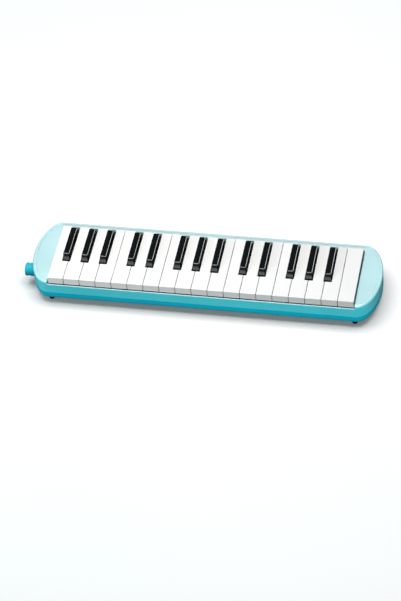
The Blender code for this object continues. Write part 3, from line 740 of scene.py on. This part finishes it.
class MELODICA_OT_upper_case(Operator):
    """Makes the upper shell: two cheeks, the rear strip, the low front rail and the opening"""

    bl_idname = "melodica.upper_case"
    bl_label = "Upper case"

    def execute(self, context):
        case = context.scene.melodica_case
        low, high = (corner.copy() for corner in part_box("upper_case"))
        low.z = case.seam
        bm = case_block(low, high, True, case.top_round, TOP_SEGMENTS, case.steps)
        sunk_panel(bm, high.z, case.panel_in, case.panel_depth)
        shell = walled("upper_blank", bm, case.wall)
        left, right, front, rear, rail = keyboard_span()
        cheek_low = high.z - CHEEK_WALL_DEPTH
        for x, side in ((left, -1), (right, 1)):
            near, far = sorted((x, x + side * case.wall))
            tool = cutter_box(
                "cheek_wall", (near, low.y + case.wall / 2, cheek_low),
                (far, rear + case.wall, high.z - case.wall / 2),
            )
            boolean(shell, tool, "UNION")
        opening = cutter_box(
            "opening", (left, low.y + RAIL_WIDTH, low.z + OPENING_START), (right, rear, high.z + MM)
        )
        notch = cutter_box("notch", (left, low.y - MM, rail), (right, front + MM, high.z + MM))
        for tool in (opening, notch, socket_cutter()):
            boolean(shell, tool, "DIFFERENCE")
        soften_edges(shell, case.edge_round)
        mesh = applied(shell)
        finished_mesh("upper_shell", mesh, "upper_plastic", CASE, ("upper_case",))
        return {"FINISHED"}


class MELODICA_OT_lower_case(Operator):
    """Makes the lower shell: the tray with its deep rounded rim, screw wells and button hole"""

    bl_idname = "melodica.lower_case"
    bl_label = "Lower case"

    def execute(self, context):
        case = context.scene.melodica_case
        low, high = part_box("lower_case")
        high = high.copy()
        high.z = case.seam - SEAM_GAP
        bm = case_block(low, high, False, case.base_round, BASE_SEGMENTS, case.steps)
        shell = walled("lower_blank", bm, case.wall)
        for name in (n for n in NODES if n.startswith("case_screw_")):
            x, y = middle_of(name)
            well_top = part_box(name)[0].z + WELL_DEPTH
            boss_top = well_top + BOSS_COVER
            boss = cutter_rod("boss", (x, y, low.z + MM), (x, y, boss_top), BOSS_RADIUS)
            well = cutter_rod("well", (x, y, 0), (x, y, well_top), WELL_RADIUS)
            boolean(shell, boss, "UNION")
            boolean(shell, well, "DIFFERENCE")
        x, y = middle_of("drain_button")
        hole_top = low.z + BUTTON_HOLE_DEPTH
        hole = cutter_rod("button_hole", (x, y, 0), (x, y, hole_top), BUTTON_HOLE)
        for tool in (hole, socket_cutter()):
            boolean(shell, tool, "DIFFERENCE")
        soften_edges(shell, case.edge_round * LOWER_SOFTNESS)
        mesh = applied(shell)
        # Finished in the lower plastic, whose darker teal is painted shade.
        finished_mesh("lower_shell", mesh, "lower_plastic", CASE, ("lower_case",))
        return {"FINISHED"}


# ---- keys


def black_spans():
    """The sides of every black key at the level of the white tops."""
    return [(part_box(name)[0].x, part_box(name)[1].x) for name in BLACK_NODES]


def white_outline(node):
    """A white key's plan at its top: full width in front, stepped in beside the black keys."""
    keys = bpy.context.scene.melodica_keys
    low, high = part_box(node)
    front, rear = low.y, low.y + keys.white_length
    notch = front + keys.notch_front
    left, right = low.x, high.x
    for black_left, black_right in black_spans():
        if black_left < low.x and black_right > low.x - MM:
            left = black_right + keys.notch_side
        if black_left < high.x + MM and black_right > high.x:
            right = black_left - keys.notch_side
    points = [(low.x, front), (high.x, front)]
    if right != high.x:
        points += [(high.x, notch), (right, notch)]
    points += [(right, rear), (left, rear)]
    if left != low.x:
        points += [(left, notch), (low.x, notch)]
    return [(x, y, high.z) for x, y in points]


def pallet_box(bm, node, sizes):
    """A box at the rear end of a key's lever, from its sizes in millimetres."""
    middle = PIVOTS[node].x
    front, top = white_front_and_top()
    half, near, far, down, up = (size * MM for size in sizes)
    return box_into(
        bm, (middle - half, front + near, top - down), (middle + half, front + far, top - up)
    )


def key_lever_into(bm, node):
    """The lever under a key: a web down to the shaft, a tail to the rear and the pallet's plate."""
    left = PIVOTS[node].x - LEVER_WIDTH / 2
    front, top = white_front_and_top()
    side = face_from(bm, [(left, front + back * MM, top - down * MM) for back, down in LEVER_SIDE])
    extruded(bm, [side], (LEVER_WIDTH, 0, 0))
    outward(bm)
    bevelled(bm, list(bm.edges), LEVER_ROUND, 2)
    plate = pallet_box(bm, node, PALLET_PLATE)
    edges = [edge for edge in bm.edges if edge.verts[0] in plate]
    bevelled(bm, edges, PLATE_ROUND, 2)


def add_key_works(node):
    """A key's lever and the felt pad that closes its port."""
    bm = bmesh.new()
    key_lever_into(bm, node)
    finished(f"{node}_lever", bm, "inner_plastic", node)
    bm = bmesh.new()
    pallet_box(bm, node, PALLET_FELT)
    bevelled(bm, list(bm.edges), FELT_ROUND, 3)
    finished(f"{node}_pad", bm, "pad_felt", node)


class MELODICA_OT_white_keys(Operator):
    """Makes the white keys: hollow caps with rounded edges, notched beside the black keys"""

    bl_idname = "melodica.white_keys"
    bl_label = "White keys"

    def execute(self, context):
        keys = context.scene.melodica_keys
        for node in WHITE_NODES:
            bm = bmesh.new()
            drawn_down(bm, face_from(bm, white_outline(node)), keys.white_depth)
            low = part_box(node)[1].z - keys.white_depth
            outer = [e for e in bm.edges if max(v.co.z for v in e.verts) > low + MM]
            marks = [(e.verts[0].co.copy(), e.verts[1].co.copy()) for e in outer]
            hollowed_from_below(bm, keys.skin, keys.white_depth - keys.skin)
            edges = [e for e in bm.edges if edge_is(e, marks)]
            bevelled(bm, edges, keys.white_round, KEY_SEGMENTS)
            cap = finished(f"{node}_cap", bm, "white_key_plastic", node, (node,))
            # The black keys' sides stay black beside the bright tops.
            cap.visible_glossy = False
            add_key_works(node)
        return {"FINISHED"}


def edge_is(edge, marks):
    """Whether an edge runs between one of the remembered pairs of points."""
    first, second = (vert.co for vert in edge.verts)
    return any(
        (first - start).length + (second - end).length < SAME_PLACE
        or (first - end).length + (second - start).length < SAME_PLACE
        for start, end in marks
    )


class MELODICA_OT_black_keys(Operator):
    """Makes the black keys: tapered caps with a steep front, a sloped rear and rounded edges"""

    bl_idname = "melodica.black_keys"
    bl_label = "Black keys"

    def execute(self, context):
        keys = context.scene.melodica_keys
        front, level = white_front_and_top()
        front_y, rear_y = front + keys.black_front, front + keys.black_rear
        for node in BLACK_NODES:
            low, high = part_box(node)
            middle = (low.x + high.x) / 2
            bm = bmesh.new()
            face = face_from(bm, [
                (low.x, front_y, level), (high.x, front_y, level),
                (high.x, rear_y, level), (low.x, rear_y, level),
            ])
            drawn_down(bm, face, keys.black_depth)
            lid = max(bm.faces, key=lambda item: item.calc_center_median().z)
            raised = extruded(bm, [lid], (0, 0, keys.black_rise))
            if lid.is_valid:
                bmesh.ops.delete(bm, geom=[lid], context="FACES_ONLY")
            for vert in raised:
                at_front = vert.co.y < front + (keys.black_front + keys.black_rear) / 2
                vert.co.x = middle + math.copysign(keys.black_top_width / 2, vert.co.x - middle)
                vert.co.y = front + (keys.black_top_front if at_front else keys.black_top_rear)
                vert.co.z = level + keys.black_rise
            hollowed_from_below(bm, keys.skin, keys.black_depth)
            upper = [e for e in bm.edges if max(v.co.z for v in e.verts) > level + MM]
            leaning = [e for e in upper if min(v.co.z for v in e.verts) < level + MM
                       and min(v.co.y for v in e.verts) < front + keys.black_top_front - MM]
            split = bmesh.ops.subdivide_edges(bm, edges=leaning, cuts=1)["geom_inner"]
            belly = [item for item in split if isinstance(item, bmesh.types.BMVert)]
            bmesh.ops.translate(bm, vec=(0, -keys.black_front_swell, 0), verts=belly)
            edges = [e for e in bm.edges if max(v.co.z for v in e.verts) > level + MM
                     and not all(v in belly for v in e.verts)]
            edges += [
                e for e in bm.edges if all_at(e.verts, 2, level) and all_at(e.verts, 1, front_y)
            ]
            bevelled(bm, edges, keys.black_round, KEY_SEGMENTS)
            finished(f"{node}_cap", bm, "black_key_plastic", node, (node,))
            add_key_works(node)
        return {"FINISHED"}


# ---- small parts


class MELODICA_OT_blow_socket(Operator):
    """Makes the blow socket: a turned stub with a beaded mouth and a tapered bore"""

    bl_idname = "melodica.blow_socket"
    bl_label = "Blow socket"

    def execute(self, context):
        start_x, end_x, y, z = socket_axis()
        length = end_x - start_x
        bore, outside, waist, spigot = 5.0 * MM, 8.0 * MM, 7.6 * MM, 7.0 * MM
        shoulder = length - 9.7 * MM
        profile = [(bore, length), (bore, 6 * MM)]
        profile += rounded((5.5 * MM, 0), (0, 1), (1, 0), 0.6 * MM)
        profile += rounded((outside, 0), (-1, 0), (0, 1), 0.9 * MM)
        profile += [(outside, 2.6 * MM), (waist, 3.2 * MM), (waist, 5.6 * MM), (outside, 6.2 * MM)]
        profile += [(outside, shoulder), (spigot, shoulder), (spigot, length), (bore, length)]
        bm = turned(profile, (0, 0), 64)
        lay = Matrix.Translation((start_x, y, z)) @ Matrix.Rotation(math.radians(90), 4, "Y")
        bmesh.ops.transform(bm, matrix=lay, verts=bm.verts)
        outward(bm)
        # The socket takes the lower case's plastic, darkened as painted shade.
        finished(
            "blow_socket_tube", bm, "lower_plastic", CASE,
            ("blow_socket",),
        )
        return {"FINISHED"}


class MELODICA_OT_feet(Operator):
    """Makes the four rubber feet, each with a rounded tread and a shallow dish"""

    bl_idname = "melodica.feet"
    bl_label = "Feet"

    def execute(self, context):
        for node in (name for name in NODES if name.startswith("foot_")):
            low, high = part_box(node)
            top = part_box("lower_case")[0].z - 0.1 * MM
            radius = (high.x - low.x) / 2
            dish, peg = 0.5 * MM, 1.5 * MM
            profile = [(0, dish), (1.6 * MM, dish), (2.0 * MM, 0)]
            profile += rounded((radius - 0.3 * MM, 0), (-1, 0), (0, 1), 0.6 * MM)
            profile += rounded((radius, top), (0, -1), (-1, 0), 0.3 * MM)
            profile += [(peg, top), (peg, high.z), (0, high.z)]
            bm = turned(profile, middle_of(node))
            finished(f"{node}_pad", bm, "rubber", CASE, (node,))
        return {"FINISHED"}


class MELODICA_OT_screws(Operator):
    """Makes the case screws: domed heads with a cross recess"""

    bl_idname = "melodica.screws"
    bl_label = "Case screws"

    def execute(self, context):
        for node in (name for name in NODES if name.startswith("case_screw_")):
            low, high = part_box(node)
            centre = middle_of(node)
            radius = (high.x - low.x) / 2
            profile = [(0, low.z), (1.2 * MM, low.z + 0.05 * MM), (2.1 * MM, low.z + 0.3 * MM)]
            profile += [(radius, low.z + 0.9 * MM), (radius, low.z + 2.2 * MM)]
            profile += [(SHANK, low.z + 2.7 * MM), (SHANK, high.z - MM), (0, high.z)]
            bm = turned(profile, centre, 36)
            blank = scratch_object("screw_blank", bm)
            for wide, deep in ((RECESS_NARROW, RECESS_LONG), (RECESS_LONG, RECESS_NARROW)):
                tool = cutter_box(
                    "recess", (centre[0] - wide, centre[1] - deep, low.z - MM),
                    (centre[0] + wide, centre[1] + deep, low.z + RECESS_DEPTH),
                )
                boolean(blank, tool, "DIFFERENCE")
            mesh = applied(blank)
            finished_mesh(f"{node}_driven", mesh, "bright_steel", CASE, (node,))
        return {"FINISHED"}


class MELODICA_OT_drain(Operator):
    """Makes the drain button: a dished cap on its stem"""

    bl_idname = "melodica.drain"
    bl_label = "Drain button"

    def execute(self, context):
        low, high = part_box("drain_button")
        radius = (high.x - low.x) / 2
        top = low.z + BUTTON_HEIGHT
        profile = [(0, low.z + 0.5 * MM), (1.4 * MM, low.z + 0.4 * MM)]
        profile += [(2.5 * MM, low.z + 0.12 * MM)]
        profile += rounded((radius, low.z), (-1, 0), (0, 1), 0.6 * MM)
        profile += [(radius, top), (SHANK, top), (SHANK, high.z), (0, high.z)]
        bm = turned(profile, middle_of("drain_button"))
        finished(
            "drain_button_cap", bm, "black_key_plastic", "drain_button",
            ("drain_button",),
        )
        return {"FINISHED"}


class MELODICA_OT_drain_spring(Operator):
    """Makes the drain valve's coil spring, which shortens as the button is pushed"""

    bl_idname = "melodica.drain_spring"
    bl_label = "Drain spring"

    def execute(self, context):
        low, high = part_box("drain_spring")
        middle = (low + high) / 2
        coil = (high.x - low.x) / 2 - SPRING_WIRE
        rise = high.z - low.z - 2 * SPRING_WIRE
        steps = SPRING_TURNS * SPRING_STEPS
        bm = bmesh.new()
        start = Matrix.Translation((middle.x + coil, middle.y, low.z + SPRING_WIRE))
        stand = start @ Matrix.Rotation(math.pi / 2, 4, "X")
        ring = bmesh.ops.create_circle(
            bm, segments=SPRING_SIDES, radius=SPRING_WIRE, matrix=stand
        )["verts"]
        bmesh.ops.spin(
            bm, geom=ring + list(bm.edges), cent=(middle.x, middle.y, 0), axis=(0, 0, 1),
            dvec=(0, 0, rise / steps), angle=2 * math.pi * SPRING_TURNS, steps=steps,
        )
        bmesh.ops.holes_fill(bm, edges=bm.edges, sides=SPRING_SIDES)
        outward(bm)
        spring = finished("drain_spring_coil", bm, "bright_steel", CASE, ("drain_spring",))
        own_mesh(spring)
        return {"FINISHED"}


class MELODICA_OT_inside(Operator):
    """Gives the pieces inside the case their finishes"""

    bl_idname = "melodica.inside"
    bl_label = "Inside pieces"

    def execute(self, context):
        finishes = {
            "wind_chest": "inner_plastic", "chest_cover": "inner_plastic",
            "air_duct": "inner_plastic",
            "chest_gasket": "rubber", "socket_seal": "rubber", "drain_valve": "rubber",
            "reed_plate_bass": "reed_brass", "reed_plate_treble": "reed_brass",
            "key_shaft": "bright_steel", "spring_comb": "bright_steel",
            "key_stop_felt": "felt",
        }
        for node, finish in finishes.items():
            for slot in NODES[node].material_slots:
                slot.material = Finishes.get(finish)
        return {"FINISHED"}


# ---- stage


def add_light(name, kind, place, size, power, colour, lit):
    """A soft rectangular light; with a list of pieces it lights only those."""
    light = bpy.data.lights.new(name, "AREA")
    light.shape = "RECTANGLE"
    light.size, light.size_y = size
    light.energy = power
    light.color = colour
    item = bpy.data.objects.new(name, light)
    item.location = place
    aim = Vector(FILL_AIM if kind == "fill" else (0, 0, 0))
    item.rotation_euler = (aim - Vector(place)).to_track_quat("-Z", "Y").to_euler()
    item.visible_glossy = kind != "fill"
    item.visible_diffuse = kind != "glint"
    bpy.context.scene.collection.objects.link(item)
    if lit is not None:
        item.light_linking.receiver_collection = collection_of(name, lit)
    return item


def collection_of(name, pieces):
    """A collection for a light's links."""
    group = bpy.data.collections.new(name)
    for piece in pieces:
        group.objects.link(piece)
    return group


class MELODICA_OT_stage(Operator):
    """Sets the floor, the soft lights and the camera"""

    bl_idname = "melodica.stage"
    bl_label = "Stage"

    def execute(self, context):
        stage = context.scene.melodica_stage
        self.make_floor()
        self.make_lights(context)
        camera = bpy.data.cameras.new("camera")
        camera.lens = stage.lens
        camera.sensor_width = SENSOR_WIDTH
        camera.clip_end = 50
        item = bpy.data.objects.new("camera", camera)
        context.scene.collection.objects.link(item)
        turn = Matrix.Rotation(stage.azimuth, 4, "Z") @ Matrix.Rotation(
            math.pi / 2 - stage.elevation, 4, "X"
        ) @ Matrix.Rotation(stage.roll, 4, "Z")
        back = turn.to_3x3() @ Vector((0, 0, stage.distance))
        item.matrix_world = Matrix.Translation(Vector(stage.aim) + back) @ turn
        context.scene.camera = item
        return {"FINISHED"}

    def make_floor(self):
        """A pale floor just below the feet, which leaves no reflection in the piece."""
        bm = bmesh.new()
        bmesh.ops.create_grid(bm, x_segments=1, y_segments=1, size=FLOOR_REACH)
        bmesh.ops.translate(bm, vec=(0, 0, -0.05 * MM), verts=bm.verts)
        floor = linked_object("floor", bm)
        material, tree, shader, place = new_material("floor_paper")
        tint = spread(tree, noise(tree, place, scale=3, detail=2), low=0, high=1)
        paint = colour_between(tree, tint, (0.98, 0.965, 0.96), (1.0, 0.985, 0.98))
        tree.links.new(paint, shader.inputs["Base Color"])
        shader.inputs["Roughness"].default_value = 0.7
        shader.inputs["Specular IOR Level"].default_value = 0.2
        shader.inputs["Emission Color"].default_value = (1, 1, 1, 1)
        shader.inputs["Emission Strength"].default_value = FLOOR_GLOW
        floor.data.materials.append(material)
        floor.visible_diffuse = False
        floor.visible_glossy = False

    def make_lights(self, context):
        """The sky and the lights, each linked to its group."""
        self.make_world(context)
        context.scene.view_settings.view_transform = "Standard"
        groups = self.lit_groups(context)
        for shell in groups["shells"]:
            # The pale case throws no light into the gaps round the keys.
            shell.visible_diffuse = False
        for name, kind, place, size, power, colour, group in LIGHTS:
            lit = groups[group] if group else None
            light = add_light(name, kind, place, size, power, colour, lit)
            if group == "white_caps":
                # The black keys leave no shadow on the bright white tops.
                light.light_linking.blocker_collection = collection_of(
                    "key_shadows", groups["not_black"]
                )

    def lit_groups(self, context):
        """The groups of pieces that the lights are linked to."""
        pieces = [item for item in context.scene.objects if item.type == "MESH"]
        shells = [item for item in pieces if item.name in CASE_PIECES]
        socket = [item for item in pieces if item.name == "blow_socket_tube"]
        blacks = [item for item in pieces if item.name.startswith("black_key_")]
        whites = [item for item in pieces if item.name.startswith("white_key_")]
        hidden = [
            item for item in pieces if item.name.endswith(("_lever", "_pad")) or item.name in NODES
        ]
        return {
            "shells": shells,
            "socket": socket,
            "blacks": blacks,
            "white_caps": [item for item in whites if item not in hidden],
            "keys_and_small": [
                item for item in pieces
                if item not in shells + socket + hidden and item.name != "floor"
            ],
            "not_black": [item for item in pieces if item not in blacks],
            "not_white": [item for item in pieces if item not in whites + hidden],
        }

    def make_world(self, context):
        """A dim sky that lights the piece, and shows pale behind it."""
        world = bpy.data.worlds.new("studio")
        world.use_nodes = True
        tree = world.node_tree
        dim = tree.nodes["Background"]
        dim.inputs["Color"].default_value = SKY_COLOUR
        dim.inputs["Strength"].default_value = SKY_STRENGTH
        pale = tree.nodes.new("ShaderNodeBackground")
        pale.inputs["Color"].default_value = (1, 1, 1, 1)
        path = tree.nodes.new("ShaderNodeLightPath")
        mix = tree.nodes.new("ShaderNodeMixShader")
        tree.links.new(path.outputs["Is Camera Ray"], mix.inputs["Fac"])
        tree.links.new(dim.outputs["Background"], mix.inputs[1])
        tree.links.new(pale.outputs["Background"], mix.inputs[2])
        tree.links.new(mix.outputs["Shader"], tree.nodes["World Output"].inputs["Surface"])
        context.scene.world = world


# ---- add-on


STEPS = (
    MELODICA_OT_upper_case, MELODICA_OT_lower_case, MELODICA_OT_white_keys,
    MELODICA_OT_black_keys, MELODICA_OT_blow_socket, MELODICA_OT_feet, MELODICA_OT_screws,
    MELODICA_OT_drain, MELODICA_OT_drain_spring, MELODICA_OT_inside, MELODICA_OT_stage,
)


class MELODICA_PT_panel(Panel):
    """Lists the build's settings and its steps."""

    bl_idname = "MELODICA_PT_panel"
    bl_label = "Melodica"
    bl_space_type = "VIEW_3D"
    bl_region_type = "UI"
    bl_category = "Melodica"

    def draw(self, context):
        layout = self.layout
        for group in ("melodica_case", "melodica_keys", "melodica_stage"):
            settings = getattr(context.scene, group)
            box = layout.box()
            for name in settings.__annotations__:
                box.prop(settings, name)
        for step in STEPS:
            layout.operator(step.bl_idname)


CLASSES = (
    MelodicaCaseSettings, MelodicaKeySettings, MelodicaStageSettings, *STEPS, MELODICA_PT_panel,
)


def register():
    for cls in CLASSES:
        bpy.utils.register_class(cls)
    bpy.types.Scene.melodica_case = PointerProperty(type=MelodicaCaseSettings)
    bpy.types.Scene.melodica_keys = PointerProperty(type=MelodicaKeySettings)
    bpy.types.Scene.melodica_stage = PointerProperty(type=MelodicaStageSettings)


def unregister():
    del bpy.types.Scene.melodica_case
    del bpy.types.Scene.melodica_keys
    del bpy.types.Scene.melodica_stage
    for cls in reversed(CLASSES):
        bpy.utils.unregister_class(cls)


def main():
    register()
    bpy.ops.melodica.upper_case()
    bpy.ops.melodica.lower_case()
    bpy.ops.melodica.white_keys()
    bpy.ops.melodica.black_keys()
    bpy.ops.melodica.blow_socket()
    bpy.ops.melodica.feet()
    bpy.ops.melodica.screws()
    bpy.ops.melodica.drain()
    bpy.ops.melodica.drain_spring()
    bpy.ops.melodica.inside()
    bpy.ops.melodica.stage()


if __name__ == "__main__":
    main()
